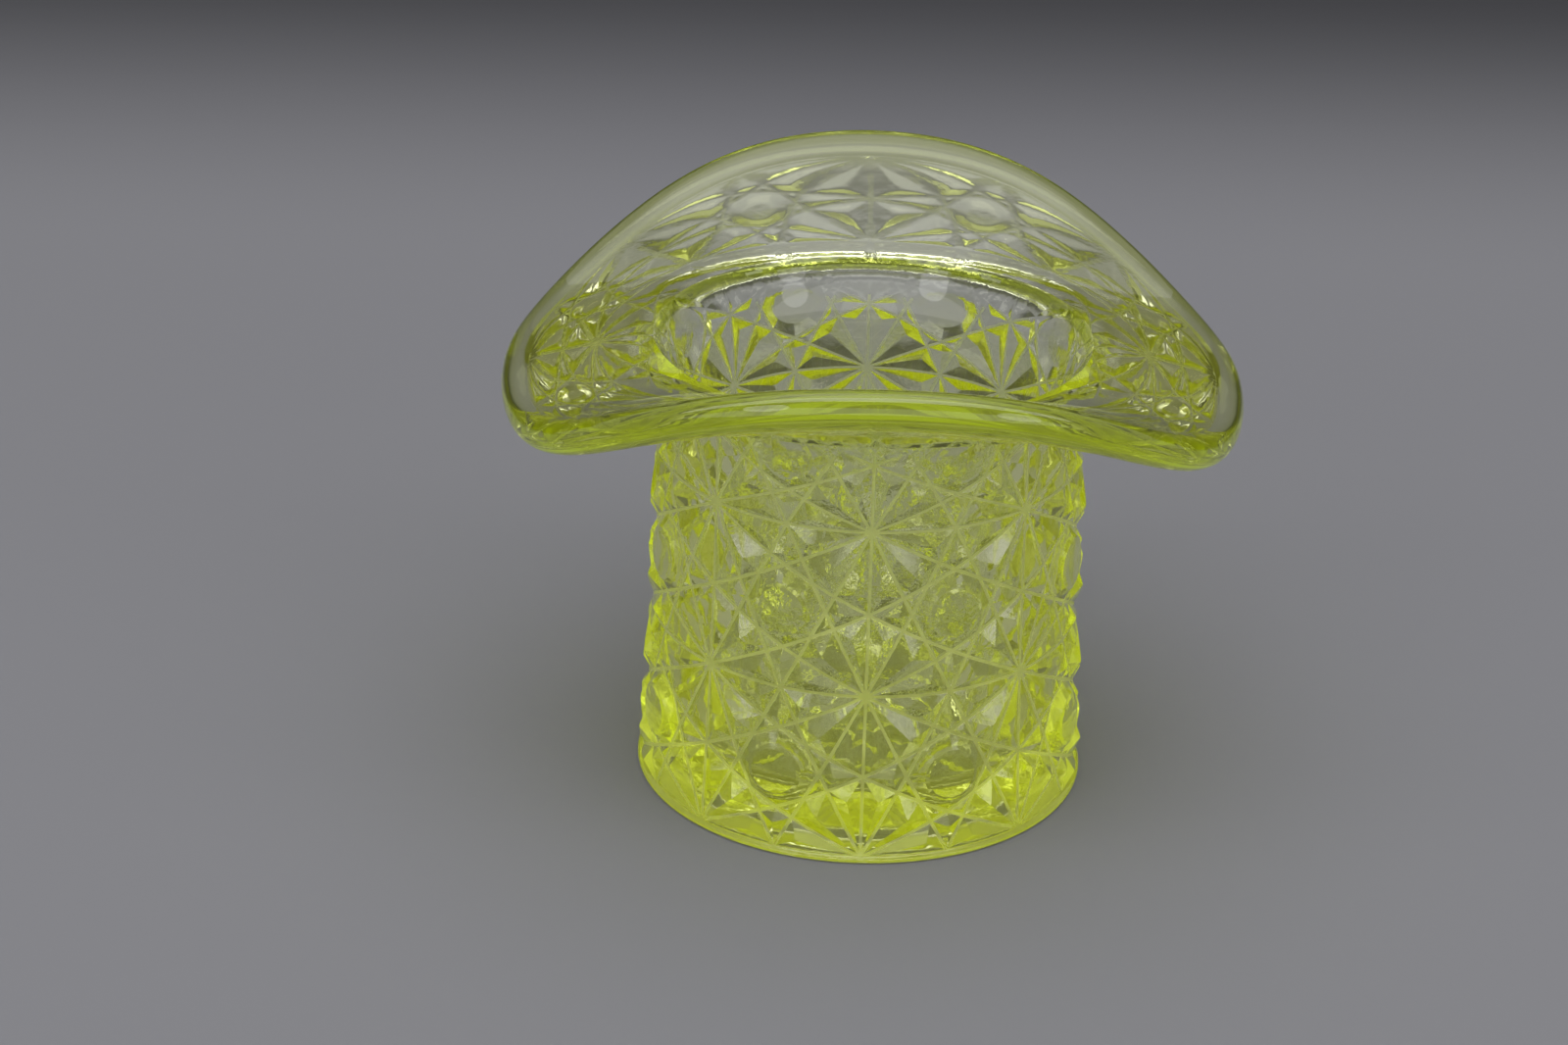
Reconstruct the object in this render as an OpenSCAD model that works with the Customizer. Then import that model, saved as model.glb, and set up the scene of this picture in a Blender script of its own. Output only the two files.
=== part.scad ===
// Pressed glass hat that stands on its crown, open side up, with a saddle-shaped brim.
// The hat is one casting. Its nodes are the zones of that casting, which meet face to face.
// Millimetres, +Z up, origin at the middle of the foot. The front of the hat faces -Y.

/* [Crown] */
// Radius at the bottom of the grooves, at the neck
crown_r = 24.6; // [20:0.1:32]
// How much wider the crown is at the foot
foot_spread = 1.6; // [0:0.1:4]
// Height of the neck, where the wall starts to turn out into the brim
neck_z = 49.5; // [40:0.5:70]
// Height of the plain foot band
foot_h = 0.6; // [0.3:0.1:2]
// How far that band stands out past the grooves
foot_lip = 0.7; // [0:0.1:1.2]
// Wall between the top row of daisies and the neck
neck_wall = 8.4; // [5:0.1:12]

/* [Inside] */
// Glass between the grooves and the inside, at the floor
floor_glass = 5.6; // [2:0.1:8]
// Glass between the grooves and the inside, where the mouth starts to flare
neck_glass = 2.8; // [1.6:0.1:6]
// Height of the inside floor
floor_z = 6; // [3:0.5:12]
// How far the crisp ring at the mouth lies outside the neck's grooves
mouth_out = 0.8; // [0:0.1:2]
// Height of that ring over the neck
mouth_rise = 5.6; // [4.6:0.1:9]
// Height of the rounded flare below the ring
flare_h = 8.5; // [4:0.1:12]
// Angle through which the flare turns out from the wall
flare_turn = 50; // [20:1:80]

/* [Foot] */
// Width of the flat ring that the hat rests on
rest_w = 7.4; // [2:0.1:12]
// Depth of the hollow inside that ring
hollow_h = 0.6; // [0.3:0.1:1.5]
// Number of rays in the star under the foot
star_rays = 16; // [8:1:24]
// Depth of the star's grooves
star_depth = 0.8; // [0.3:0.1:1.5]

/* [Brim] */
// Mean reach of the middle of the rim bead past the neck's grooves
brim_w = 17.5; // [13:0.1:35]
// How much more that is at front and back, and less at the sides
rim_oval = 0.7; // [0:0.1:3]
// How much more that is between them, and less at all four
rim_square = 0.8; // [0:0.1:2]
// Mean height of the middle of the rim bead over the neck
rim_rise = 6; // [2:0.1:9]
// How far the rim rises at front and back, and drops at the sides
rim_wave = 7.2; // [0:0.1:10]
// How far it hangs between front and sides, and lifts at all four
rim_hang = 1; // [0:0.1:2]
// How far it curls down beside the two sides, and flattens at front and back
rim_curl = 0.6; // [0:0.1:1.5]
// Radius of the round rim bead
bead_r = 2.2; // [1.5:0.1:3]
// Plain border between the pattern and the bead
border_w = 0.6; // [0.2:0.1:4]
// Radius of the hollow corner under the brim
corner_r = 3; // [1.5:0.1:5]
// Plain strip between that corner and the first daisies of the brim
corner_lead = 3; // [0.2:0.1:4]

/* [Daisy and button pattern] */
// Columns of daisies round the hat
columns = 8; // [6:1:12]
// Rise of the facets for each millimetre away from a groove
facet_slope = 0.6; // [0.2:0.05:0.8]
// Height of the buttons over the grooves
button_h = 1.2; // [0.4:0.1:2]
// Radius of the button tops, as a share of the column spacing
button_share = 0.155; // [0.08:0.005:0.2]
// Height of the relief under the brim, as a share of the crown's
brim_share = 0.7; // [0.3:0.05:1]

/* [Hidden] */

glass_tint = [0.80, 0.86, 0.28];
thick_tint = [0.72, 0.80, 0.14];

// Rows of daisies on the wall, and the row at each joint between zones
crown_rows = 2;
brim_row = crown_rows + 1;
rim_row = brim_row + 1;
// Smooth rings have this many points for each half square
ring_split = 3;
flare_steps = 5;
brim_steps = 3;
bead_steps = 8;
round_fn = 120;

crown_foot_r = crown_r + foot_spread;
foot_r = crown_foot_r + foot_lip;
hollow_r = foot_r - rest_w;
floor_bore_r = crown_foot_r - floor_glass;
bore_r = crown_r - neck_glass;
mouth_r = crown_r + mouth_out;
rim_r = crown_r + brim_w;
row_pitch = (neck_z - neck_wall - foot_h) / crown_rows;
column_pitch = 2 * PI * crown_foot_r / columns;
top_row_z = neck_z - neck_wall;
mouth_z = neck_z + mouth_rise;
flare_z = mouth_z - flare_h;
rad = 180 / PI;

// Plain geometry in a plane
function unit(v) = v / norm(v);
function cross_2d(a, b) = a[0] * b[1] - a[1] * b[0];
function meet(a, da, b, db) = a + da * cross_2d(b - a, db) / cross_2d(da, db);
function heading(t) = [cos(t), sin(t)];
function left_of(d) = [-d[1], d[0]];

// A place in the pattern is counted in squares: u round the hat, v up the wall and out along the brim.
// Places that are reached in two ways are settled on one value, so that faces share their corners.
function settle(x) = round(x * 6000) / 6000;

// Angle round the hat of a place u, the waves of the rim, and the bead's height there
function turn_of(u) = (settle(u) % columns) * 360 / columns - 90;
function waves(u, two, four, six = 0) =
    two * cos(2 * turn_of(u)) + four * cos(4 * turn_of(u)) + six * cos(6 * turn_of(u));
function rim_z(u) = neck_z + rim_rise + waves(u, -rim_wave, rim_hang, rim_curl);
function around(u, p) = [p[0] * cos(turn_of(u)), p[0] * sin(turn_of(u)), p[1]];

// Outer profile: wall that widens towards the foot, hollow corner, then straight out to the bead
function groove_r(z) =
    crown_r + foot_spread * pow((neck_z - z) / (neck_z - foot_h), 2);
corner_mid = [crown_r + corner_r, neck_z];
function bead_mid(u) = [rim_r + waves(u, -rim_oval, -rim_square), rim_z(u)];
function corner_turn(u) =
    let (d = bead_mid(u) - corner_mid)
    acos(-(corner_r + bead_r) / norm(d)) - atan2(d[1], d[0]);
function slope_len(u) = sqrt(pow(norm(bead_mid(u) - corner_mid), 2) - pow(corner_r + bead_r, 2));
function corner_len(u) = corner_r * corner_turn(u) / rad;
function neck_len(u) = neck_wall + corner_len(u) + corner_lead;

// Place along the outer profile of a pattern row v, measured from the top row of the wall
function reach(u, v) =
    v <= brim_row
        ? (v - crown_rows) * neck_len(u)
        : neck_len(u) + (v - brim_row) * (slope_len(u) - corner_lead - border_w);

// Point and outward direction of the outer profile at that place
function under_frame(u, s) =
    s <= neck_wall
        ? [[groove_r(top_row_z + s), top_row_z + s], [1, 0]]
        : let (
              t = min((s - neck_wall) * rad / corner_r, corner_turn(u)),
              out = [cos(t), -sin(t)],
              rest = max(s - neck_wall - corner_len(u), 0)
          )
          [corner_mid - corner_r * out + rest * left_of(out), out];

// Point of the patterned skin at square place (u, v), raised by h over the grooves
function skin(u, v, h) =
    let (
        row = settle(v),
        wall_z = foot_h + row * row_pitch,
        f = row <= crown_rows ? [[groove_r(wall_z), wall_z], [1, 0]] : under_frame(u, reach(u, row))
    )
    around(u, f[0] + h * f[1]);

// Inner profile: floor, tapered wall, flare up to the mouth ring
function bore_at(z) =
    z <= floor_z
        ? floor_bore_r
        : floor_bore_r + (bore_r - floor_bore_r) * (z - floor_z) / (flare_z - floor_z);
function flare_point(share) =
    [
        bore_r + (mouth_r - bore_r) * (1 - cos(share * flare_turn)) / (1 - cos(flare_turn)),
        flare_z + flare_h * sin(share * flare_turn) / sin(flare_turn)
    ];

// Upper side of the brim: straight from the mouth ring to the top of the bead
mouth_point = [mouth_r, mouth_z];
function top_span(u) = bead_mid(u) - mouth_point;
function top_turn(u) = atan2(top_span(u)[1], top_span(u)[0]) + asin(bead_r / norm(top_span(u)));
function top_len(u) = sqrt(pow(norm(top_span(u)), 2) - pow(bead_r, 2));
function top_point(u, s) = mouth_point + s * heading(top_turn(u));

// Cells of one pattern square: petals, kites and small triangles, each with its corners in order
daisy = [0, 0];
crossing = [1 / 2, 0];
petal_tip = [2 / 5, 1 / 5];
long_tip = [1 / 3, 1 / 3];
button_side = [1 / 2, 1 / 4];
function swap(p) = [p[1], p[0]];
function across(p) = [1 - p[0], p[1]];
function mirrored(cell) = [for (i = [len(cell) - 1 : -1 : 0]) swap(cell[i])];
function quarter(p) = [1 - p[1], p[0]];
function turned(cell, k) = k == 0 ? cell : turned([for (p = cell) quarter(p)], k - 1);
side_petal = [daisy, crossing, petal_tip];
long_petal = [daisy, petal_tip, long_tip, swap(petal_tip)];
kite = [crossing, across(petal_tip), button_side, petal_tip];
chip = [petal_tip, button_side, long_tip];
cells = [
    for (k = [0 : 3], c = [side_petal, mirrored(side_petal), long_petal, kite, chip, mirrored(chip)])
        turned(c, k)
];
button_ring = [for (k = [0 : 3]) each turned([long_tip, button_side], k)];
button_mid = [1 / 2, 1 / 2];

// Peak of a cell: the point that lies equally far from its sides
function bisector(cell, i) =
    let (n = len(cell))
    unit(unit(cell[(i + 1) % n] - cell[i]) + unit(cell[(i + n - 1) % n] - cell[i]));
function peak(cell) = meet(cell[0], bisector(cell, 0), cell[1], bisector(cell, 1));
function peak_h(cell) =
    let (side = unit(cell[1] - cell[0]))
    abs(cross_2d(side, peak(cell) - cell[0])) * facet_slope * column_pitch;

// Triangles of the patterned skin, from row v0 to row v1, with heights multiplied by share
function skin_triangles(v0, v1, share) = [
    for (row = [v0 : v1 - 1], col = [0 : columns - 1])
        let (o = [col, row])
        each concat(
            [
                for (c = cells)
                    let (top = skin_at(o + peak(c), peak_h(c) * share), n = len(c))
                    for (i = [0 : n - 1])
                        [skin_at(o + c[i], 0), skin_at(o + c[(i + 1) % n], 0), top]
            ],
            button_triangles(o, share)
        )
];
function skin_at(p, h) = skin(p[0], p[1], h);
function button_triangles(o, share) =
    let (
        n = len(button_ring),
        low = [for (p = button_ring) skin_at(o + p, 0)],
        high = [
            for (p = button_ring)
                skin_at(o + button_mid + unit(p - button_mid) * button_share, button_h * share)
        ],
        top = skin_at(o + button_mid, button_h * share)
    )
    [
        for (i = [0 : n - 1])
            let (j = (i + 1) % n)
            each [[low[i], low[j], high[j]], [low[i], high[j], high[i]], [high[i], high[j], top]]
    ];

// Rings: the groove line of a pattern row, and a smooth ring with the points of one profile place
half_count = 2 * columns;
ring_count = half_count * ring_split;
function ring_u(i) = i * columns / ring_count;
function groove_ring(row) = [for (i = [0 : half_count - 1]) skin(i / 2, row, 0)];
function wall_ring(z) = [for (i = [0 : ring_count - 1]) around(ring_u(i), [bore_at(z), z])];
function flare_ring(share) = [for (i = [0 : ring_count - 1]) around(ring_u(i), flare_point(share))];
function top_ring(share) = [
    for (i = [0 : ring_count - 1])
        let (u = ring_u(i))
        around(u, top_point(u, share * (top_len(u) - border_w)))
];
function bead_ring(share) = [
    for (i = [0 : ring_count - 1])
        let (
            u = ring_u(i),
            from = top_turn(u) + 90,
            to = -corner_turn(u)
        )
        around(u, bead_mid(u) + bead_r * heading(from + (to - from) * share))
];

// Triangles between two rings, and between a groove line and a smooth ring
function band(low, high) = [
    for (i = [0 : len(low) - 1])
        let (j = (i + 1) % len(low))
        each [[low[i], low[j], high[j]], [low[i], high[j], high[i]]]
];
function bands(rings) = [for (i = [0 : len(rings) - 2]) each band(rings[i], rings[i + 1])];
function joint(groove, ring) = [
    for (i = [0 : half_count - 1])
        let (
            next = groove[(i + 1) % half_count],
            k = [for (j = [0 : ring_split]) ring[(i * ring_split + j) % ring_count]],
            fan = [for (j = [0 : ring_split - 1]) [groove[i], k[j + 1], k[j]]]
        )
        each concat(fan, [[groove[i], next, k[ring_split]]])
];
function flipped(triangles) = [for (t = triangles) [t[0], t[2], t[1]]];

// Closed solid from triangles whose corners run anticlockwise, seen from outside
module casting(triangles) {
    polyhedron(
        points = [for (t = triangles) each t],
        faces = [for (i = [0 : len(triangles) - 1]) [3 * i + 2, 3 * i + 1, 3 * i]]
    );
}

foot_ring = wall_ring(foot_h);
sill_ring = wall_ring(floor_z);
top_row_ring = wall_ring(top_row_z);
mouth_ring = top_ring(0);
border_ring = top_ring(1);

// Floor of the crown with the foot band, hollow and star
module base_floor() {
    color(thick_tint)
    difference() {
        union() {
            cylinder(r = foot_r, h = foot_h, $fn = round_fn);
            translate([0, 0, foot_h])
                linear_extrude(floor_z - foot_h)
                    polygon([for (p = foot_ring) [p[0], p[1]]]);
        }
        translate([0, 0, -hollow_h])
            cylinder(r = hollow_r, h = 2 * hollow_h, $fn = round_fn);
        for (k = [0 : star_rays - 1])
            rotate([0, 0, k * 360 / star_rays])
                star_groove();
    }
}

// One V groove of the star, from the middle of the hollow to near its edge
module star_groove() {
    translate([star_depth, 0, hollow_h])
        rotate([90, 0, 90])
            linear_extrude(hollow_r - 2 * star_depth)
                polygon([[-star_depth, 0], [star_depth, 0], [0, star_depth]]);
}

// Straight wall of the crown, with daisies and buttons outside
module crown_wall() {
    color(glass_tint)
    casting(concat(
        skin_triangles(0, crown_rows, 1),
        flipped(bands([foot_ring, sill_ring, top_row_ring])),
        flipped(joint(groove_ring(0), foot_ring)),
        joint(groove_ring(crown_rows), top_row_ring)
    ));
}

// Top of the crown, which turns out into the brim, with the flared mouth inside
module neck_flare() {
    flare_rings = [for (i = [0 : flare_steps - 1]) flare_ring(i / flare_steps)];
    color(thick_tint)
    casting(concat(
        skin_triangles(crown_rows, brim_row, 1),
        flipped(bands(concat([top_row_ring], flare_rings, [mouth_ring]))),
        flipped(joint(groove_ring(crown_rows), top_row_ring)),
        joint(groove_ring(brim_row), mouth_ring)
    ));
}

// Brim, smooth above, with daisies and buttons below
module brim() {
    color(glass_tint)
    casting(concat(
        skin_triangles(brim_row, rim_row, brim_share),
        flipped(bands([for (i = [0 : brim_steps]) top_ring(i / brim_steps)])),
        flipped(joint(groove_ring(brim_row), mouth_ring)),
        joint(groove_ring(rim_row), border_ring)
    ));
}

// Plain border and round bead at the edge of the brim
module rim() {
    bead_rings = [for (i = [0 : bead_steps]) bead_ring(i / bead_steps)];
    color(thick_tint)
    casting(concat(
        flipped(bands(concat([border_ring], bead_rings))),
        flipped(joint(groove_ring(rim_row), border_ring)),
        joint(groove_ring(rim_row), bead_rings[bead_steps])
    ));
}

base_floor();
crown_wall();
neck_flare();
brim();
rim();
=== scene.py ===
"""Dresses the pressed glass hat: one continuous skin of yellow-green glass, with its studio and camera."""

import logging
import math
from dataclasses import dataclass, field
from enum import Enum
from typing import Any

import bmesh
import bpy
from bmesh.types import BMEdge, BMesh, BMFace, BMVert
from mathutils import Matrix, Vector


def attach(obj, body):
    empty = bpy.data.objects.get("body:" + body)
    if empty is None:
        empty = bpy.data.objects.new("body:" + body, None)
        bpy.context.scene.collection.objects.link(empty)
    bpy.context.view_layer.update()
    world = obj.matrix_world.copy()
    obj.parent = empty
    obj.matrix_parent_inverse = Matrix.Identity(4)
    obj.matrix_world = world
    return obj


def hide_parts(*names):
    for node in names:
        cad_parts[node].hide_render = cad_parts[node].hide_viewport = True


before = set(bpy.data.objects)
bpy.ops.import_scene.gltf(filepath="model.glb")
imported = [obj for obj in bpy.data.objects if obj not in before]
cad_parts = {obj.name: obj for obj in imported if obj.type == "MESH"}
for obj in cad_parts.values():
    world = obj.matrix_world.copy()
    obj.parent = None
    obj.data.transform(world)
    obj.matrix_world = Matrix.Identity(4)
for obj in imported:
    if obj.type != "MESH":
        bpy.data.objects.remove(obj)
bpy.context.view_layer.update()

log = logging.getLogger("glass_hat")

MM = 0.001
ML_PER_M3 = 1e6

# Tolerances on the flat sheet, in squares, and the weld of the bent skin, in metres
NEAR = 1e-4
WELD = 1e-5
SKIN_WELD = 1e-7

ZONES = ("base_floor", "crown_wall", "neck_flare", "brim", "rim")
GLASS_SLOT = "hat_glass"

Colour = tuple[float, float, float, float]


class Band(Enum):
    """Plain bands of the skin, each with its place in the row count and its number of rings."""

    HOLLOW = (-3, 14)
    REST = (-2, 4)
    FOOT = (-1, 6)
    BORDER = (4, 2)
    BEAD = (5, 16)
    TOP = (6, 14)
    LIP = (7, 5)
    FLARE = (8, 12)
    WALL = (9, 14)
    FLOOR = (10, 16)

    @property
    def row(self) -> int:
        """Row count at the lower end of the band."""
        return self.value[0]

    @property
    def rings(self) -> int:
        """Number of rings that the band is divided into."""
        return self.value[1]


def heading(angle: float) -> Vector:
    """Unit vector at an angle, in a plane through the axis of the hat."""
    return Vector((math.cos(angle), math.sin(angle)))


def eased(share: float) -> float:
    """Smooth step from 0 to 1, clamped at both ends."""
    share = min(max(share, 0.0), 1.0)
    return share * share * (3 - 2 * share)


@dataclass(frozen=True)
class HatForm:
    """Sizes of the hat in metres, and the profile that its glass follows round the axis."""

    crown_r: float = 24.6 * MM
    foot_spread: float = 1.6 * MM
    neck_z: float = 49.5 * MM
    neck_wall: float = 8.4 * MM
    foot_h: float = 0.6 * MM
    foot_lip: float = 0.7 * MM
    rest_w: float = 7.4 * MM
    hollow_h: float = 0.6 * MM
    hollow_side: float = 0.15
    star_rays: int = 16
    star_depth: float = 0.8 * MM
    floor_glass: float = 5.6 * MM
    neck_glass: float = 2.8 * MM
    floor_z: float = 6.0 * MM
    floor_corner: float = 3.0 * MM
    floor_bend: float = 0.4
    mouth_out: float = 0.8 * MM
    mouth_rise: float = 5.6 * MM
    lip_w: float = 0.9 * MM
    lip_h: float = 1.6 * MM
    lip_swell: float = 0.1 * MM
    flare_h: float = 10.0 * MM
    brim_w: float = 17.5 * MM
    rim_oval: float = 0.7 * MM
    rim_square: float = 0.8 * MM
    rim_rise: float = 6.0 * MM
    rim_wave: float = 7.2 * MM
    rim_hang: float = 1.0 * MM
    rim_curl: float = 0.6 * MM
    bead_r: float = 2.2 * MM
    bead_power: float = 2.0
    bead_square: float = 0.9
    border_w: float = 0.6 * MM
    corner_r: float = 3.0 * MM
    corner_lead: float = 3.0 * MM
    corner_lift: float = 1.3 * MM
    columns: int = 8
    crown_rows: int = 2
    pattern_rows: int = 4
    plain_row: float = 2.79
    plain_half: float = 0.17
    plain_fade: float = 0.06
    plain_height: float = 0.02
    plain_ramp: float = 0.05
    brim_flat: float = 0.72
    border_flat: float = 0.8
    border_fade: float = 0.24
    # Share of painted shade on the rim bead, a darker green standing in for the darker look of light
    # through the thick glass.
    rim_painted_shade: float = 0.9
    rim_fade: float = 0.25
    raise_gain: float = 0.8
    lobe_from: float = 0.5
    lobe_fade: float = 0.3

    @property
    def crown_foot_r(self) -> float:
        """Radius of the grooves at the foot."""
        return self.crown_r + self.foot_spread

    @property
    def foot_r(self) -> float:
        """Outer radius of the foot band."""
        return self.crown_foot_r + self.foot_lip

    @property
    def hollow_r(self) -> float:
        """Radius of the hollow inside the resting ring."""
        return self.foot_r - self.rest_w

    @property
    def square(self) -> float:
        """Width of one pattern square at the foot."""
        return 2 * math.pi * self.crown_foot_r / self.columns

    @property
    def top_row_z(self) -> float:
        """Height of the top row of daisies on the wall."""
        return self.neck_z - self.neck_wall

    @property
    def row_pitch(self) -> float:
        """Height of one pattern square on the wall."""
        return (self.top_row_z - self.foot_h) / self.crown_rows

    @property
    def mouth(self) -> Vector:
        """Point of the mouth ring, as radius and height."""
        return Vector((self.crown_r + self.mouth_out, self.neck_z + self.mouth_rise))

    def turn(self, u: float) -> float:
        """Angle round the hat of a place u, counted in squares from the front."""
        return u * 2 * math.pi / self.columns - math.pi / 2

    def raised(self, u: float) -> float:
        """Share by which the brim is turned up at a place, from 0 at the sides to 1 at front and back."""
        return eased(self.raise_gain * (1 - math.cos(2 * self.turn(u))))

    def neck_top(self, u: float) -> float:
        """Height at which the wall turns out into the brim, higher where the brim is turned up."""
        return self.neck_z + self.corner_lift * self.raised(u)

    def lobe(self, u: float, v: float) -> float:
        """Share of the dropped sides of the brim at a place of its patterned underside.

        Args:
            u: Place round the hat, in squares.
            v: Row of the sheet.

        Returns:
            The share, from 0 off the sides to 1 well out on them.
        """
        if not self.crown_rows < v < self.pattern_rows:
            return 0.0
        out = eased((v - self.crown_rows - self.lobe_from) / self.lobe_fade)
        return (1 - self.raised(u)) * out

    def border_share(self, v: float) -> float:
        """Share by which the relief fades into the plain border at a row."""
        return eased((v - self.pattern_rows) / self.border_fade + 1)

    def ring_share(self, u: float, v: float) -> float:
        """Share of the plain ring in the corner under the brim, at a place of the pattern."""
        off = abs(v - self.plain_row) - self.plain_half
        return self.raised(u) * (1 - eased(off / self.plain_fade))

    def painted_shade_share(self, v: float) -> float:
        """Share of the painted shade at a row: a darker green painted on the rim bead and the lip of the
        mouth.

        Args:
            v: Row of the sheet.

        Returns:
            The share, 1 on the lip and up to the rim's painted shade on the bead.
        """
        if Band.LIP.row < v < Band.FLARE.row:
            return 1.0
        inside = min(v - Band.BEAD.row, Band.TOP.row - v)
        return self.rim_painted_shade * eased(inside / self.rim_fade)

    def groove_r(self, z: float) -> float:
        """Radius of the grooves of the wall at a height."""
        share = (self.neck_z - z) / (self.neck_z - self.foot_h)
        return self.crown_r + self.foot_spread * share**2

    def bead_mid(self, u: float) -> Vector:
        """Middle of the rim bead: a saddle that curls down beside its sides and flattens at front and back.

        Args:
            u: Place round the hat, in squares.

        Returns:
            The point, as radius and height.
        """
        two, four, six = (math.cos(count * self.turn(u)) for count in (2, 4, 6))
        reach = self.brim_w - self.rim_oval * two - self.rim_square * four
        rise = self.rim_rise - self.rim_wave * two + self.rim_hang * four + self.rim_curl * six
        return Vector((self.crown_r + reach, self.neck_z + rise))

    def under_line(self, u: float) -> tuple[Vector, float, float]:
        """Straight underside of the brim, which touches the hollow corner and the bead.

        Args:
            u: Place round the hat, in squares.

        Returns:
            The middle of the corner, the angle that the corner turns through, and the straight's length.
        """
        middle = Vector((self.crown_r + self.corner_r, self.neck_top(u)))
        span = self.bead_mid(u) - middle
        reach = self.corner_r + self.bead_r
        turn = math.acos(-reach / span.length) - math.atan2(span.y, span.x)
        return middle, turn, math.sqrt(span.length_squared - reach**2)

    def top_line(self, u: float) -> tuple[float, float]:
        """Straight upper side of the brim, from the mouth ring to the bead.

        Args:
            u: Place round the hat, in squares.

        Returns:
            The angle that it rises at, and its length.
        """
        span = self.bead_mid(u) - self.mouth
        angle = math.atan2(span.y, span.x) + math.asin(self.bead_r / span.length)
        return angle, math.sqrt(span.length_squared - self.bead_r**2)

    def patterned(self, u: float, v: float) -> tuple[Vector, Vector]:
        """Point and outward direction of the patterned skin.

        Args:
            u: Place round the hat, in squares.
            v: Pattern row, up the wall and then out under the brim.

        Returns:
            The point and the direction in which the relief rises, both as radius and height.
        """
        if v <= self.crown_rows:
            z = self.foot_h + v * self.row_pitch
            return Vector((self.groove_r(z), z)), Vector((1, 0))
        middle, corner_turn, straight = self.under_line(u)
        wall_len = self.neck_top(u) - self.top_row_z
        corner_len = self.corner_r * corner_turn
        neck_len = wall_len + corner_len + self.corner_lead
        brim_row = self.crown_rows + 1
        if v <= brim_row:
            along = (v - self.crown_rows) * neck_len
        else:
            along = neck_len + (v - brim_row) * (straight - self.corner_lead - self.border_w)
        if along <= wall_len:
            z = self.top_row_z + along
            return Vector((self.groove_r(z), z)), Vector((1, 0))
        angle = min((along - wall_len) / self.corner_r, corner_turn)
        out = heading(-angle)
        rest = max(along - wall_len - corner_len, 0.0)
        return middle - self.corner_r * out + rest * Vector((-out.y, out.x)), out

    def plain(self, band: Band, u: float, share: float) -> Vector:
        """Point of a plain band.

        Args:
            band: The band of the skin.
            u: Place round the hat, in squares.
            share: Place across the band, from 0 at its lower row to 1 at its upper row.

        Returns:
            The point, as radius and height.
        """
        if band is Band.HOLLOW:
            return self.hollow_point(u, 1 - share)
        if band is Band.REST:
            inner, outer = self.hollow_r, self.foot_r - self.foot_h / 2
            return Vector((inner + (outer - inner) * share, 0))
        if band is Band.FOOT:
            half = self.foot_h / 2
            return Vector((self.foot_r - half, half)) + half * heading((share - 0.5) * math.pi)
        if band is Band.BORDER:
            point, out = self.patterned(u, self.pattern_rows)
            return point + share * self.border_w * Vector((-out.y, out.x))
        if band is Band.BEAD:
            return self.bead_point(u, share)
        if band is Band.TOP:
            angle, length = self.top_line(u)
            return self.mouth + (1 - share) * length * heading(angle)
        if band is Band.LIP:
            across = (self.throat - self.mouth).normalized()
            swell = self.lip_swell * math.sin(math.pi * share)
            return self.mouth.lerp(self.throat, share) + swell * Vector((across.y, -across.x))
        if band is Band.FLARE:
            z = self.throat.y - self.flare_h * share
            return Vector((self.bore_r(z), z))
        if band is Band.WALL:
            low = self.floor_z + self.floor_corner
            high = self.throat.y - self.flare_h
            z = high + (low - high) * share
            return Vector((self.bore_r(z), z))
        return self.floor_point(share)

    @property
    def throat(self) -> Vector:
        """Lower edge of the lip inside the mouth ring."""
        return self.mouth - Vector((self.lip_w, self.lip_h))

    def bore_r(self, z: float) -> float:
        """Radius of the smooth inside of the crown, which widens to the throat.

        Args:
            z: Height over the foot.

        Returns:
            The radius at that height.
        """
        low_r, high_r = self.crown_foot_r - self.floor_glass, self.crown_r - self.neck_glass
        taper = low_r + (high_r - low_r) * (z - self.floor_z) / (self.throat.y - self.floor_z)
        flared = max(z - self.throat.y + self.flare_h, 0.0) / self.flare_h
        return taper + (self.throat.x - high_r) * flared**2

    def bead_point(self, u: float, share: float) -> Vector:
        """Point of the rim bead, round in its corners and flatter at its edge.

        Args:
            u: Place round the hat, in squares.
            share: Place round the bead, from 0 under the brim to 1 on top of it.

        Returns:
            The point, as radius and height.
        """
        low, high = -self.under_line(u)[1], self.top_line(u)[0] + math.pi / 2
        angle = low + (high - low) * share
        off = angle - (low + high) / 2
        power = self.bead_power + self.bead_square * eased(-math.cos(2 * self.turn(u)))
        bulge = abs(math.cos(off)) ** power + abs(math.sin(off)) ** power
        fullness = 1 + (bulge ** (-1 / power) - 1) * math.sin(math.pi * share)
        return self.bead_mid(u) + self.bead_r * fullness * heading(angle)

    def floor_point(self, share: float) -> Vector:
        """Point of the inside floor, with its rounded corner.

        Args:
            share: Place across the floor, from 0 at the top of the corner to 1 at the axis.

        Returns:
            The point, as radius and height.
        """
        bend = self.floor_bend
        edge = self.bore_r(self.floor_z + self.floor_corner)
        corner = Vector((edge - self.floor_corner, self.floor_z + self.floor_corner))
        if share <= bend:
            return corner + self.floor_corner * heading(-math.pi / 2 * share / bend)
        return Vector((corner.x * (1 - share) / (1 - bend), self.floor_z))

    def hollow_point(self, u: float, share: float) -> Vector:
        """Point of the hollow underneath, with its star.

        Args:
            u: Place round the hat, in squares.
            share: Place across the hollow, from 0 at its edge to 1 at the axis.

        Returns:
            The point, as radius and height.
        """
        side = self.hollow_side
        if share <= side:
            return Vector((self.hollow_r, self.hollow_h * share / side))
        r = self.hollow_r * (1 - share) / (1 - side)
        ray = 2 * math.pi / self.star_rays
        turn = self.turn(u)
        off = abs(turn - ray * round(turn / ray)) * r
        inside = min(r, self.hollow_r - r)
        depth = max(min(self.star_depth - off, inside), 0.0)
        return Vector((r, self.hollow_h + depth))

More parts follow.
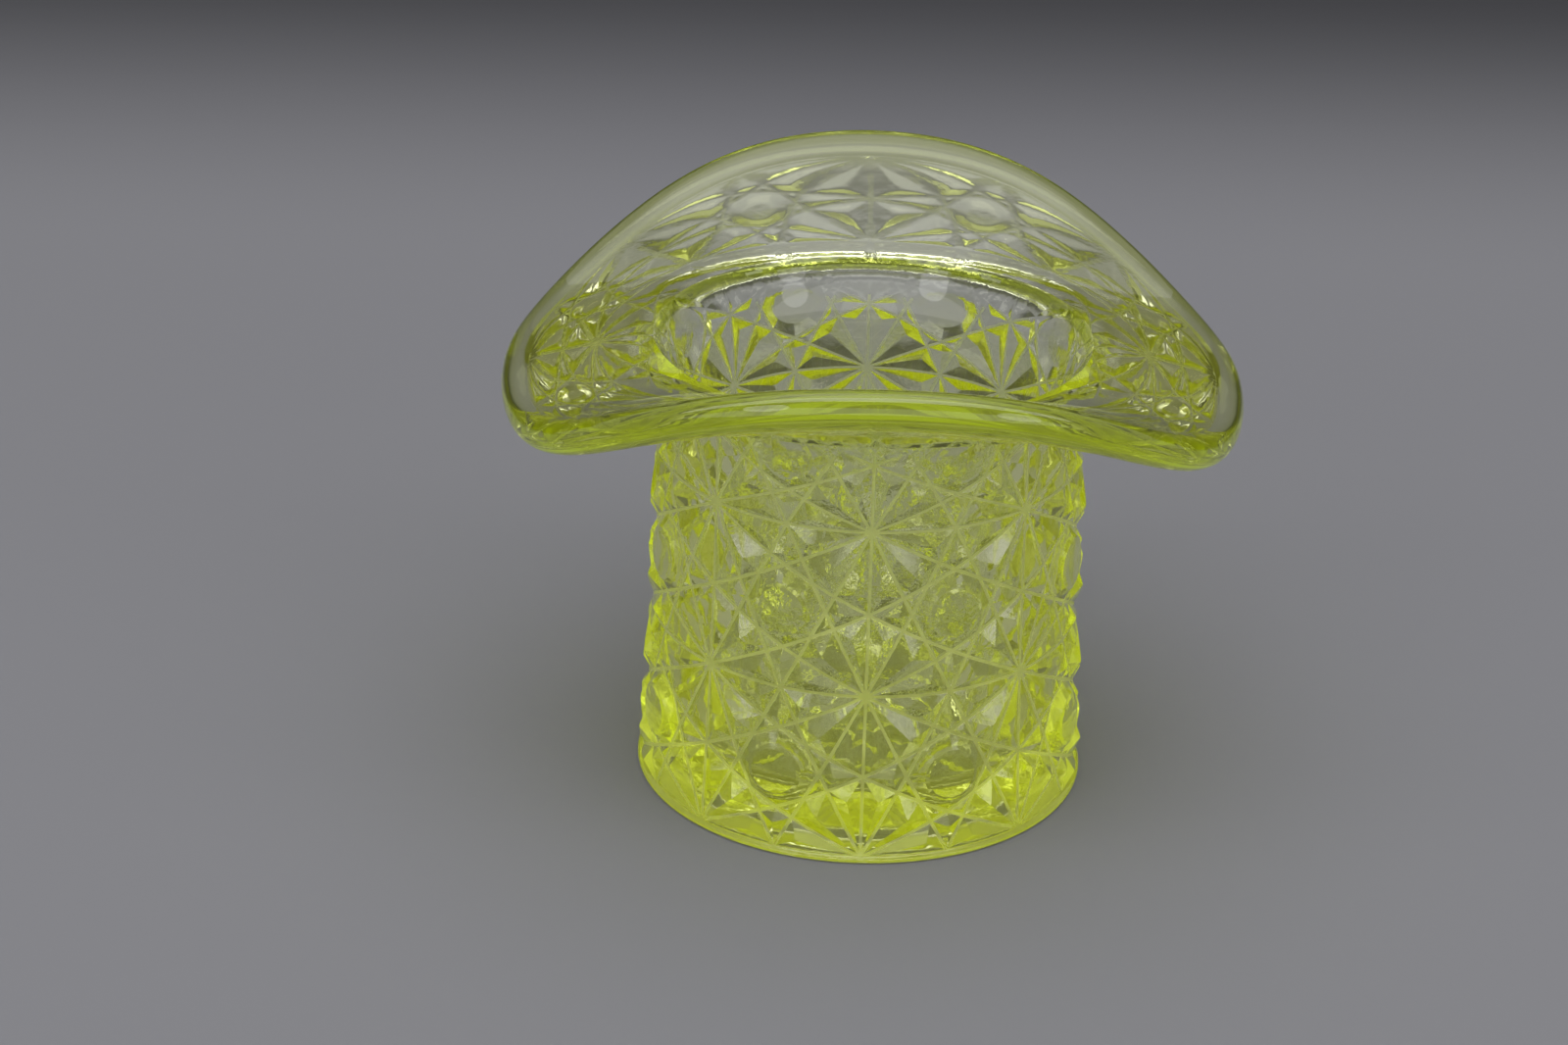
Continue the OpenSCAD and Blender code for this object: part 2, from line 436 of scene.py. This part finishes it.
    def place(self, u: float, v: float, height: float) -> Vector:
        """Point of the hat for a point of the flat sheet.

        Args:
            u: Place round the hat, in squares.
            v: Row, with the plain bands below and above the pattern.
            height: Height of the relief over the grooves, in squares.

        Returns:
            The point in the frame of the hat.
        """
        if 0 <= v <= self.pattern_rows:
            point, out = self.patterned(u, v)
            raised = self.raised(u)
            height *= 1 - self.brim_flat * raised * eased(v - self.crown_rows)
            height *= 1 - self.border_flat * self.border_share(v)
            outward = max((v - self.plain_row) / self.plain_half, 0.0)
            level = self.plain_height + self.plain_ramp * raised * outward**2
            height += (level - height) * self.ring_share(u, v)
            point = point + height * self.square * out
        else:
            band = next(b for b in reversed(Band) if v > b.row or b is Band.HOLLOW)
            point = self.plain(band, u, v - band.row)
        turn = self.turn(u)
        return Vector((point.x * math.cos(turn), point.x * math.sin(turn), point.y))


@dataclass
class PatternSquare:
    """One square of the daisy-and-button relief, laid flat, with sizes in squares."""

    groove: float = 0.008
    facet_slope: float = 0.55
    flat_top: float = 0.005
    button_r: float = 0.155
    button_h: float = 0.058
    shoulder: float = 0.02
    shoulder_h: float = 0.008
    dome_in: float = 0.5
    dome_rise: float = 0.25
    hub_r: float = 0.13

    DAISY = (0, 0)
    CROSSING = (1 / 2, 0)
    PETAL_TIP = (2 / 5, 1 / 5)
    LONG_TIP = (1 / 3, 1 / 3)
    BUTTON_SIDE = (1 / 2, 1 / 4)
    BUTTON_MID = (1 / 2, 1 / 2)
    BUTTON_SIDES = 8

    def build(self) -> BMesh:
        """Builds the square from one eighth of it, then raises every cell.

        Returns:
            The square, with its grooves at height 0.
        """
        bm = bmesh.new()
        self.lay_eighth(bm)
        self.turn_round(bm)
        self.join_halves(bm)
        self.raise_cells(bm)
        return bm

    def lay_eighth(self, bm: BMesh) -> None:
        """Lays the five small triangles that the whole square repeats.

        Args:
            bm: The empty square.
        """
        corner = {
            place: bm.verts.new((*place, 0))
            for place in (
                self.DAISY,
                self.CROSSING,
                self.PETAL_TIP,
                self.LONG_TIP,
                self.BUTTON_SIDE,
                self.BUTTON_MID,
            )
        }
        for cell in (
            (self.DAISY, self.CROSSING, self.PETAL_TIP),
            (self.DAISY, self.PETAL_TIP, self.LONG_TIP),
            (self.CROSSING, self.BUTTON_SIDE, self.PETAL_TIP),
            (self.PETAL_TIP, self.BUTTON_SIDE, self.LONG_TIP),
            (self.LONG_TIP, self.BUTTON_SIDE, self.BUTTON_MID),
        ):
            bm.faces.new([corner[place] for place in cell])

    def turn_round(self, bm: BMesh) -> None:
        """Mirrors the eighth in the diagonal and turns the quarter round the button.

        Args:
            bm: The square, with one eighth laid.
        """
        middle = Vector((*self.BUTTON_MID, 0))
        swap = Matrix(((0, 1, 0, 0), (1, 0, 0, 0), (0, 0, 1, 0), (0, 0, 0, 1)))
        copy = bmesh.ops.duplicate(bm, geom=bm.verts[:] + bm.edges[:] + bm.faces[:])["geom"]
        bmesh.ops.transform(bm, matrix=swap, verts=[g for g in copy if isinstance(g, BMVert)])
        bmesh.ops.reverse_faces(bm, faces=[g for g in copy if isinstance(g, BMFace)])
        bmesh.ops.spin(
            bm,
            geom=bm.verts[:] + bm.edges[:] + bm.faces[:],
            cent=middle,
            axis=(0, 0, 1),
            angle=math.radians(270),
            steps=3,
            use_duplicate=True,
        )
        bmesh.ops.remove_doubles(bm, verts=bm.verts[:], dist=WELD)

    def join_halves(self, bm: BMesh) -> None:
        """Takes out the lines of the mirrors, so that long petals, kites and the button are whole.

        Args:
            bm: The square, with every eighth laid.
        """
        middle = Vector((*self.BUTTON_MID, 0))
        halves = []
        for edge in bm.edges:
            if edge.is_boundary:
                continue
            a, b = ((vert.co - middle) for vert in edge.verts)
            on_diagonal = all(abs(abs(p.x) - abs(p.y)) < NEAR for p in (a, b))
            on_cross = all(min(abs(p.x), abs(p.y)) < NEAR for p in (a, b))
            spoke = min(a.length, b.length) < self.hub_r
            if spoke or on_diagonal or on_cross:
                halves.append(edge)
        bmesh.ops.dissolve_edges(bm, edges=halves, use_verts=True)
        bmesh.ops.recalc_face_normals(bm, faces=bm.faces[:])
        if sum(face.normal.z for face in bm.faces) < 0:
            bmesh.ops.reverse_faces(bm, faces=bm.faces[:])

    def raise_cells(self, bm: BMesh) -> None:
        """Raises every cell to a ridge or a button, with a narrow flat groove between cells.

        Args:
            bm: The square, with its cells flat.
        """
        cells = bm.faces[:]
        inradius = {face: 2 * face.calc_area() / face.calc_perimeter() for face in cells}
        bmesh.ops.inset_individual(bm, faces=cells, thickness=self.groove, use_even_offset=True)
        for face in cells:
            if len(face.verts) == self.BUTTON_SIDES:
                self.raise_button(bm, face, inradius[face])
                continue
            run = inradius[face] - self.groove - self.flat_top
            bmesh.ops.inset_individual(
                bm,
                faces=[face],
                thickness=run,
                depth=run * self.facet_slope,
                use_even_offset=True,
            )

    def raise_button(self, bm: BMesh, face: BMFace, inradius: float) -> None:
        """Raises the button with a rounded shoulder and a slightly domed top.

        Args:
            bm: The square.
            face: The cell of the button.
            inradius: Radius of the circle that fits in that cell.
        """
        run = inradius - self.groove - self.button_r
        for thickness, depth in (
            (run, self.button_h - self.shoulder_h),
            (self.shoulder, self.shoulder_h),
            (self.button_r * self.dome_in, self.shoulder_h * self.dome_rise),
        ):
            bmesh.ops.inset_individual(
                bm, faces=[face], thickness=thickness, depth=depth, use_even_offset=True
            )
        bmesh.ops.poke(bm, faces=[face])


class Value:
    """A shader value: sums and products of values add their Math nodes."""

    def __init__(self, bench: "NodeBench", socket: Any) -> None:
        """Wraps one output socket of a bench of nodes."""
        self.bench = bench
        self.socket = socket

    def _math(self, operation: str, first: Any, second: Any) -> "Value":
        """Adds one Math node on two numbers or values."""
        node = self.bench.add(
            "ShaderNodeMath", {"operation": operation}, {0: first, 1: second}
        )
        return Value(self.bench, node.outputs[0])

    def __add__(self, other: Any) -> "Value":
        """Sum of this and another value."""
        return self._math("ADD", self, other)

    __radd__ = __add__

    def __sub__(self, other: Any) -> "Value":
        """This value less another."""
        return self._math("SUBTRACT", self, other)

    def __rsub__(self, other: Any) -> "Value":
        """Another value less this one."""
        return self._math("SUBTRACT", other, self)

    def __mul__(self, other: Any) -> "Value":
        """Product of this and another value."""
        return self._math("MULTIPLY", self, other)

    __rmul__ = __mul__


class NodeBench:
    """The nodes of one material or world, added by type."""

    def __init__(self, owner: Any) -> None:
        """Clears the owner's nodes and keeps its tree.

        Args:
            owner: The material or world.
        """
        owner.use_nodes = True
        self.tree = owner.node_tree
        self.tree.nodes.clear()

    def add(self, kind: str, settings: dict[str, Any], inputs: dict[Any, Any]) -> Any:
        """Adds a node.

        Args:
            kind: Type name of the node.
            settings: Attributes of the node, set first.
            inputs: Values, sockets or wrapped values for its input sockets, by name or number.

        Returns:
            The new node.
        """
        node = self.tree.nodes.new(kind)
        for name, value in settings.items():
            setattr(node, name, value)
        for name, value in inputs.items():
            if isinstance(value, Value):
                value = value.socket
            if isinstance(value, bpy.types.NodeSocket):
                self.tree.links.new(value, node.inputs[name])
            else:
                node.inputs[name].default_value = value
        return node

    def value(self, kind: str, settings: dict[str, Any], inputs: dict[Any, Any], output: str) -> Value:
        """Adds a node and wraps one of its outputs as a value."""
        return Value(self, self.add(kind, settings, inputs).outputs[output])

    def attribute(self, name: str) -> Value:
        """Reads one value that the mesh keeps at its points."""
        return self.value("ShaderNodeAttribute", {"attribute_name": name}, {}, "Fac")

    def ramp(self, value: Any, low: float, high: float) -> Value:
        """Smooth step from 0 to 1 between two values."""
        return self.value(
            "ShaderNodeMapRange",
            {"interpolation_type": "SMOOTHSTEP"},
            {"Value": value, "From Min": low, "From Max": high},
            "Result",
        )

    def blend(self, share: Value, first: Any, second: Any) -> Any:
        """Mixes two colours and gives the socket of the result."""
        inputs = {"Factor": share, "A": first, "B": second}
        return self.add("ShaderNodeMix", {"data_type": "RGBA"}, inputs).outputs["Result"]


@dataclass(frozen=True)
class HatGlass:
    """Clear yellow-green pressed glass: fire polished, crinkled in its relief, frosted in its grooves, with
    painted highlights in the grooves, painted shade on the bead and lip, painted yellow light on the
    dropped sides and a painted glow in its depth.
    """

    name: str = GLASS_SLOT
    tint: Colour = (0.98, 0.99, 0.96, 1.0)
    # Painted yellow light: the dropped sides of the brim are tinted yellower, standing in for the yellow
    # that light picks up inside the glass there.
    lobe_painted_light: Colour = (0.98, 1.0, 0.28, 1.0)
    # Painted shade: a darker green painted on the rim bead and the lip, standing in for the darker look of
    # light through the thick glass there.
    painted_shade_tint: Colour = (0.41, 0.48, 0.04, 1.0)
    deep_tint: Colour = (0.82, 0.87, 0.05, 1.0)
    depth_per_m: float = 58.0
    # Painted glow: the glass gives out this light through its depth, though it is no lamp.
    painted_glow: Colour = (0.82, 0.87, 0.02, 1.0)
    painted_glow_per_m: float = 9.2
    ior: float = 1.52
    sheen: float = 0.4
    polish: float = 0.015
    scuff: float = 0.2
    ripple_scale: float = 110.0
    ripple_detail: float = 1.0
    ripple_depth: float = 0.06 * MM
    crinkle_scale: float = 620.0
    crinkle_detail: float = 3.0
    crinkle_depth: float = 0.075 * MM
    crinkle_blur: float = 0.02
    groove_blur: float = 0.3
    groove_from: float = 0.7
    # Painted highlight: a pale diffuse layer in the grooves, standing in for the light that rounded grooves
    # catch.
    painted_groove_highlight: Colour = (0.9, 0.96, 0.32, 1.0)
    painted_highlight_share: float = 0.5

    def build(self) -> bpy.types.Material:
        """Builds the glass.

        Returns:
            The material, with its colour in the depth of the glass.
        """
        material = bpy.data.materials.new(self.name)
        bench = NodeBench(material)
        place = bench.add("ShaderNodeTexCoord", {}, {}).outputs["Object"]
        relief = bench.attribute("relief")
        worn = bench.attribute("worn")
        groove = bench.ramp(bench.attribute("groove"), self.groove_from, 1.0)
        # Painted yellow light on the dropped sides, mixed into the glass's colour.
        tint_with_painted_light = bench.blend(bench.attribute("lobe"), self.tint, self.lobe_painted_light)
        # Painted shade on the bead and the lip, mixed into the glass's colour.
        colour = bench.blend(bench.attribute("edge"), tint_with_painted_light, self.painted_shade_tint)
        ripple = self.noise(bench, place, self.ripple_scale, self.ripple_detail)
        crinkle = self.noise(bench, place, self.crinkle_scale, self.crinkle_detail)
        surface = ripple * self.ripple_depth + crinkle * relief * self.crinkle_depth
        bump = bench.add(
            "ShaderNodeBump", {}, {"Strength": 1.0, "Distance": 1.0, "Height": surface}
        )
        shader = bench.add(
            "ShaderNodeBsdfPrincipled",
            {},
            {
                "Base Color": colour,
                "Roughness": self.polish
                + crinkle * relief * self.crinkle_blur
                + groove * self.groove_blur
                + worn * self.scuff,
                "IOR": self.ior,
                "Transmission Weight": 1.0,
                "Coat Weight": self.sheen,
                "Normal": bump.outputs["Normal"],
            },
        )
        # Painted highlight: a pale diffuse layer mixed into the grooves, standing in for the light that
        # rounded grooves catch.
        painted_groove_highlight = bench.add("ShaderNodeBsdfDiffuse", {}, {"Color": self.painted_groove_highlight})
        skin = bench.add(
            "ShaderNodeMixShader",
            {},
            {
                0: groove * crinkle * self.painted_highlight_share,
                1: shader.outputs["BSDF"],
                2: painted_groove_highlight.outputs["BSDF"],
            },
        )
        depth = bench.add(
            "ShaderNodeVolumeAbsorption",
            {},
            {"Color": self.deep_tint, "Density": self.depth_per_m},
        )
        # Painted glow: an emission through the depth of the glass, which lights it though it is no lamp.
        painted_glow = bench.add(
            "ShaderNodeEmission", {}, {"Color": self.painted_glow, "Strength": self.painted_glow_per_m}
        )
        body = bench.add(
            "ShaderNodeAddShader", {}, {0: depth.outputs["Volume"], 1: painted_glow.outputs["Emission"]}
        )
        bench.add(
            "ShaderNodeOutputMaterial",
            {},
            {"Surface": skin.outputs["Shader"], "Volume": body.outputs["Shader"]},
        )
        return material

    def noise(self, bench: NodeBench, place: Any, scale: float, detail: float) -> Value:
        """Noise of one scale over the object, from 0 to 1."""
        return bench.value(
            "ShaderNodeTexNoise", {}, {"Vector": place, "Scale": scale, "Detail": detail}, "Fac"
        )


@dataclass
class GlassHat:
    """The hat: a flat sheet of pattern squares and plain bands, bent round and closed into one skin."""

    form: HatForm = field(default_factory=HatForm)
    square: PatternSquare = field(default_factory=PatternSquare)
    brim_square: PatternSquare = field(
        default_factory=lambda: PatternSquare(
            groove=0.022, flat_top=0.01, facet_slope=0.9, button_r=0.13, button_h=0.085, shoulder_h=0.016
        )
    )
    finest: float = 0.0626
    brim_finest: float = 0.0313
    sharp: float = math.radians(12)
    soft_row: float = 2.9
    soft_passes: int = 1
    soft_factor: float = 0.5
    soft_groove: float = 0.82
    button_narrow: float = 0.34
    narrow_from: float = 0.25
    button_turn: float = math.atan2(1, 2)
    button_ring: float = 0.2236
    button_blend: float = 0.045
    groove_top: float = 0.001

    def build(self, glass: HatGlass) -> bpy.types.Object:
        """Builds and dresses the hat.

        Args:
            glass: Its finish.

        Returns:
            The finished piece.
        """
        bm = self.square.build()
        self.repeat(bm, (0, 1, 0), self.form.pattern_rows - 1)
        self.add_brim_row(bm)
        self.repeat(bm, (1, 0, 0), self.form.columns)
        self.mark_ridges(bm)
        self.refine(bm)
        self.round_buttons(bm)
        self.narrow_brim_buttons(bm)
        self.soften_brim(bm)
        for band in (
            Band.BORDER,
            Band.BEAD,
            Band.TOP,
            Band.LIP,
            Band.FLARE,
            Band.WALL,
            Band.FLOOR,
        ):
            self.extend(bm, band.row, band.row + 1, band.rings)
        for band in (Band.FOOT, Band.REST, Band.HOLLOW):
            self.extend(bm, band.row + 1, band.row, band.rings)
        self.bend(bm)
        piece = self.finish(bm, "glass_hat")
        piece.data.materials.append(glass.build())
        return piece

    def repeat(self, bm: BMesh, step: tuple[float, float, float], count: int) -> None:
        """Repeats what is laid so far along one direction.

        Args:
            bm: The sheet.
            step: Offset from one copy to the next, in squares.
            count: How many there are in the end.
        """
        first = bm.verts[:] + bm.edges[:] + bm.faces[:]
        for number in range(1, count):
            copy = bmesh.ops.duplicate(bm, geom=first)["geom"]
            bmesh.ops.translate(
                bm, vec=Vector(step) * number, verts=[g for g in copy if isinstance(g, BMVert)]
            )

    def add_brim_row(self, bm: BMesh) -> None:
        """Adds the square of the outer row, whose grooves were opened up when the brim was shaped.

        Args:
            bm: The sheet, still one square wide.
        """
        outer = self.brim_square.build()
        bmesh.ops.translate(outer, vec=(0, self.form.pattern_rows - 1, 0), verts=outer.verts[:])
        mesh = bpy.data.meshes.new("outer_row")
        outer.to_mesh(mesh)
        outer.free()
        bm.from_mesh(mesh)
        bpy.data.meshes.remove(mesh)

    def mark_ridges(self, bm: BMesh) -> None:
        """Joins the squares and marks their ridges and grooves as sharp.

        Args:
            bm: The sheet.
        """
        bmesh.ops.remove_doubles(bm, verts=bm.verts[:], dist=WELD)
        for edge in bm.edges:
            edge.smooth = edge.is_boundary or edge.calc_face_angle() < self.sharp

    def refine(self, bm: BMesh) -> None:
        """Halves long edges until the sheet can bend.

        Args:
            bm: The sheet.
        """
        while True:
            long = [edge for edge in bm.edges if edge.calc_length() > self.limit(edge)]
            if not long:
                return
            bmesh.ops.subdivide_edges(bm, edges=long, cuts=1, use_grid_fill=True)
            ngons = [face for face in bm.faces if len(face.verts) > 4]
            bmesh.ops.triangulate(bm, faces=ngons)

    def limit(self, edge: BMEdge) -> float:
        """Longest edge that is left at the place of an edge, which is shorter on the soft brim."""
        on_brim = min(vert.co.y for vert in edge.verts) > self.form.pattern_rows - 1 - NEAR
        return self.brim_finest if on_brim else self.finest

    def round_buttons(self, bm: BMesh) -> None:
        """Turns the eight-sided buttons round, and leaves the grooves round them as they are.

        Args:
            bm: The sheet.
        """
        ring = self.button_ring
        for vert in bm.verts:
            middle = Vector((math.floor(vert.co.x) + 0.5, math.floor(vert.co.y) + 0.5))
            arm = vert.co.xy - middle
            if not WELD < arm.length < ring:
                continue
            fold = math.atan2(min(abs(arm.x), abs(arm.y)), max(abs(arm.x), abs(arm.y)))
            across = arm.length * math.cos(fold - self.button_turn)
            share = eased((ring - across) / self.button_blend)
            arm *= 1 + (across / arm.length - 1) * share
            vert.co.x, vert.co.y = middle + arm

    def narrow_brim_buttons(self, bm: BMesh) -> None:
        """Draws the buttons of the outer row in, so that they are still round on the wider brim.

        Args:
            bm: The sheet.
        """
        for vert in bm.verts:
            if vert.co.y <= self.form.pattern_rows - 1:
                continue
            middle = Vector((math.floor(vert.co.x) + 0.5, self.form.pattern_rows - 0.5))
            arm = vert.co.xy - middle
            off = max(abs(arm.x), abs(arm.y))
            if off < 0.5:
                share = eased((0.5 - off) / (0.5 - self.narrow_from))
                vert.co.x = middle.x + arm.x * (1 - self.button_narrow * share)

    def soften_brim(self, bm: BMesh) -> None:
        """Rounds the relief under the brim, which the hand shaping has softened.

        Args:
            bm: The sheet.
        """
        soft = [vert for vert in bm.verts if vert.co.y > self.soft_row]
        for _ in range(self.soft_passes):
            bmesh.ops.smooth_vert(bm, verts=soft, factor=self.soft_factor, use_axis_z=True)
        for vert in soft:
            for edge in vert.link_edges:
                edge.smooth = True

    def extend(self, bm: BMesh, start: float, end: float, rings: int) -> None:
        """Extends the sheet by one plain band, with a sharp edge only at the mouth ring.

        Args:
            bm: The sheet.
            start: Row at which the sheet ends.
            end: Row at which the band ends.
            rings: Number of strips in the band.
        """
        edges = [
            edge
            for edge in bm.edges
            if edge.is_boundary and all(abs(vert.co.y - start) < NEAR for vert in edge.verts)
        ]
        step = Vector((0, (end - start) / rings, 0))
        for _ in range(rings):
            grown = bmesh.ops.extrude_edge_only(bm, edges=edges)["geom"]
            verts = [g for g in grown if isinstance(g, BMVert)]
            bmesh.ops.translate(bm, vec=step, verts=verts)
            new = set(verts)
            edges = [
                g for g in grown if isinstance(g, BMEdge) and new.issuperset(g.verts)
            ]
        for edge in edges:
            edge.smooth = end != Band.LIP.row
            for vert in edge.verts:
                vert.co.y = end

    def bend(self, bm: BMesh) -> None:
        """Bends the sheet round the hat, closes it, and keeps each finish's share at its points.

        Args:
            bm: The sheet.
        """
        relief = bm.verts.layers.float.new("relief")
        groove = bm.verts.layers.float.new("groove")
        worn = bm.verts.layers.float.new("worn")
        lobe = bm.verts.layers.float.new("lobe")
        edge = bm.verts.layers.float.new("edge")
        rows = self.form.pattern_rows
        for vert in bm.verts:
            u, v, height = vert.co
            vert[relief] = 1.0 if 0 < v < rows else 0.0
            if 0 < v < rows and height < self.groove_top:
                clear = 1 - max(self.form.ring_share(u, v), self.form.border_share(v))
                fade = self.form.raised(u) if v > self.soft_row else 0.0
                vert[groove] = clear * (1 - (1 - self.soft_groove) * fade)
            # The lobe share also places painted yellow light on the dropped sides.
            vert[lobe] = self.form.lobe(u, v)
            # The edge share is painted shade on the bead and the lip.
            vert[edge] = self.form.painted_shade_share(v)
            vert[worn] = 1.0 if Band.REST.row <= v <= Band.REST.row + 1 else 0.0
            vert.co = self.form.place(u, v, height)
        bmesh.ops.remove_doubles(bm, verts=bm.verts[:], dist=SKIN_WELD)
        bmesh.ops.recalc_face_normals(bm, faces=bm.faces[:])
        if bm.calc_volume(signed=True) < 0:
            bmesh.ops.reverse_faces(bm, faces=bm.faces[:])

    def finish(self, bm: BMesh, name: str) -> bpy.types.Object:
        """Makes the piece from its skin.

        Args:
            bm: The closed skin.
            name: Name of the piece.

        Returns:
            The piece's object, at the origin.
        """
        open_edges = sum(1 for edge in bm.edges if len(edge.link_faces) != 2)
        log.info(
            "%s: %d triangles, %d open edges, %.1f ml of glass",
            name,
            sum(len(face.verts) - 2 for face in bm.faces),
            open_edges,
            bm.calc_volume() * ML_PER_M3,
        )
        for face in bm.faces:
            face.smooth = True
        mesh = bpy.data.meshes.new(name)
        bm.to_mesh(mesh)
        bm.free()
        piece = bpy.data.objects.new(name, mesh)
        bpy.context.collection.objects.link(piece)
        return piece


@dataclass(frozen=True)
class SoftBox:
    """One soft lamp of the studio: where it hangs, how large it is, and how strong."""

    name: str
    place: tuple[float, float, float]
    aim: tuple[float, float, float]
    width: float
    height: float
    watts: float

    def hang(self) -> None:
        """Hangs the lamp, turned to what it lights."""
        data = bpy.data.lights.new(self.name, "AREA")
        data.shape = "ELLIPSE"
        data.size = self.width
        data.size_y = self.height
        data.energy = self.watts
        lamp = bpy.data.objects.new(self.name, data)
        lamp.location = self.place
        aim = Vector(self.aim) - Vector(self.place)
        lamp.rotation_euler = aim.to_track_quat("-Z", "Y").to_euler()
        bpy.context.collection.objects.link(lamp)


@dataclass(frozen=True)
class GreyPaper:
    """Matt grey paper with painted shade that darkens it to the back."""

    name: str = "grey_paper"
    near: Colour = (0.215, 0.215, 0.231, 1.0)
    # Painted shade: the paper is painted darker towards the back, standing in for less light falling there.
    far: Colour = (0.05, 0.05, 0.055, 1.0)
    painted_shade_from: float = 0.17
    painted_shade_to: float = 0.36
    rough: float = 0.85
    shine: float = 0.1

    def build(self) -> bpy.types.Material:
        """Builds the paper's finish.

        Returns:
            The material, which fades with the distance behind the hat.
        """
        material = bpy.data.materials.new(self.name)
        bench = NodeBench(material)
        place = bench.add("ShaderNodeTexCoord", {}, {}).outputs["Object"]
        back = bench.add("ShaderNodeSeparateXYZ", {}, {"Vector": place}).outputs["Y"]
        # Painted shade, growing with the distance behind the hat.
        share = bench.ramp(back, self.painted_shade_from, self.painted_shade_to)
        shader = bench.add(
            "ShaderNodeBsdfPrincipled",
            {},
            {
                "Base Color": bench.blend(share, self.near, self.far),
                "Roughness": self.rough,
                "Specular IOR Level": self.shine,
            },
        )
        bench.add("ShaderNodeOutputMaterial", {}, {"Surface": shader.outputs["BSDF"]})
        return material


@dataclass
class Studio:
    """Grey paper, soft lamps and the camera."""

    paper: GreyPaper = field(default_factory=GreyPaper)
    paper_half: float = 1.6
    paper_back: float = 0.9
    paper_rise: float = 0.5
    under_foot: float = 0.1 * MM
    room: Colour = (0.36, 0.36, 0.368, 1.0)
    overhead: Colour = (1.8, 1.8, 1.8, 1.0)
    overhead_from: float = 0.74
    lamps: tuple[SoftBox, ...] = (
        SoftBox("lamp_high", (0, -0.55, 1.15), (0, 0, 0.03), 4.4, 0.5, 10.0),
        SoftBox("lamp_low", (0, -1.1, 0.55), (0, 0, 0.03), 4.4, 0.4, 3.9),
        SoftBox("lamp_left", (-0.6, -0.8, 0.62), (0, 0, 0.03), 0.3, 0.3, 0.42),
        SoftBox("lamp_right", (0.75, -0.7, 0.5), (0, 0, 0.03), 0.3, 0.3, 0.36),
    )
    image_w: float = 1600.0
    focal_px: float = 3444.0
    sensor_mm: float = 36.0
    clip_from: float = 0.01
    aim: tuple[float, float, float] = (-9.75 * MM, 0.0, 30.6 * MM)
    distance: float = 0.4
    elevation: float = math.radians(24.92)
    roll: float = math.radians(1.47)

    def build(self) -> None:
        """Sets up the paper, the light and the camera."""
        self.lay_paper()
        for lamp in self.lamps:
            lamp.hang()
        self.light_room()
        self.set_camera()
        bpy.context.scene.view_settings.view_transform = "Standard"

    def lay_paper(self) -> None:
        """Lays flat grey paper under the hat, with painted shade that darkens it to the back, and ends it
        in an upright edge.
        """
        bm = bmesh.new()
        near = [bm.verts.new((x, -self.paper_half, 0)) for x in (-self.paper_half, self.paper_half)]
        flat = bmesh.ops.extrude_edge_only(bm, edges=[bm.edges.new(near)])["geom"]
        far = [g for g in flat if isinstance(g, BMVert)]
        bmesh.ops.translate(bm, vec=(0, self.paper_half + self.paper_back, 0), verts=far)
        edge = [g for g in flat if isinstance(g, BMEdge) and set(g.verts) == set(far)]
        upright = bmesh.ops.extrude_edge_only(bm, edges=edge)["geom"]
        bmesh.ops.translate(
            bm, vec=(0, 0, self.paper_rise), verts=[g for g in upright if isinstance(g, BMVert)]
        )
        mesh = bpy.data.meshes.new("paper")
        bm.to_mesh(mesh)
        bm.free()
        paper = bpy.data.objects.new("paper", mesh)
        paper.location.z = -self.under_foot
        bpy.context.collection.objects.link(paper)
        mesh.materials.append(self.paper.build())

    def light_room(self) -> None:
        """Fills the room with soft light that grows from grey at the horizon to bright overhead."""
        world = bpy.data.worlds.new("room")
        bpy.context.scene.world = world
        bench = NodeBench(world)
        way = bench.add("ShaderNodeTexCoord", {}, {}).outputs["Generated"]
        up = bench.add("ShaderNodeSeparateXYZ", {}, {"Vector": way}).outputs["Z"]
        share = bench.ramp(up, self.overhead_from, 1.0)
        low = bench.add("ShaderNodeBackground", {}, {"Color": self.room, "Strength": 1.0})
        high = bench.add("ShaderNodeBackground", {}, {"Color": self.overhead, "Strength": 1.0})
        light = bench.add(
            "ShaderNodeMixShader",
            {},
            {0: share, 1: low.outputs["Background"], 2: high.outputs["Background"]},
        )
        bench.add("ShaderNodeOutputWorld", {}, {"Surface": light.outputs["Shader"]})

    def set_camera(self) -> None:
        """Places the camera at the photograph's viewing angle."""
        data = bpy.data.cameras.new("camera")
        data.sensor_fit = "HORIZONTAL"
        data.sensor_width = self.sensor_mm
        data.lens = self.sensor_mm * self.focal_px / self.image_w
        data.clip_start = self.clip_from
        camera = bpy.data.objects.new("camera", data)
        bpy.context.collection.objects.link(camera)
        back = Vector((0, -math.cos(self.elevation), math.sin(self.elevation)))
        right = Matrix.Rotation(self.roll, 3, back) @ Vector((1, 0, 0))
        turn = Matrix((right, back.cross(right), back)).transposed()
        camera.matrix_world = (
            Matrix.Translation(Vector(self.aim) + back * self.distance) @ turn.to_4x4()
        )
        bpy.context.scene.camera = camera


def main() -> None:
    """Builds the hat and its studio, and hides the parts that the hat stands for."""
    logging.basicConfig(level=logging.INFO, format="%(name)s: %(message)s")
    hat = GlassHat().build(HatGlass())
    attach(hat, "root")
    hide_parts(*ZONES)
    log.info("%s rides on the root and stands for %s", hat.name, ", ".join(ZONES))
    Studio().build()


if __name__ == "__main__":
    main()
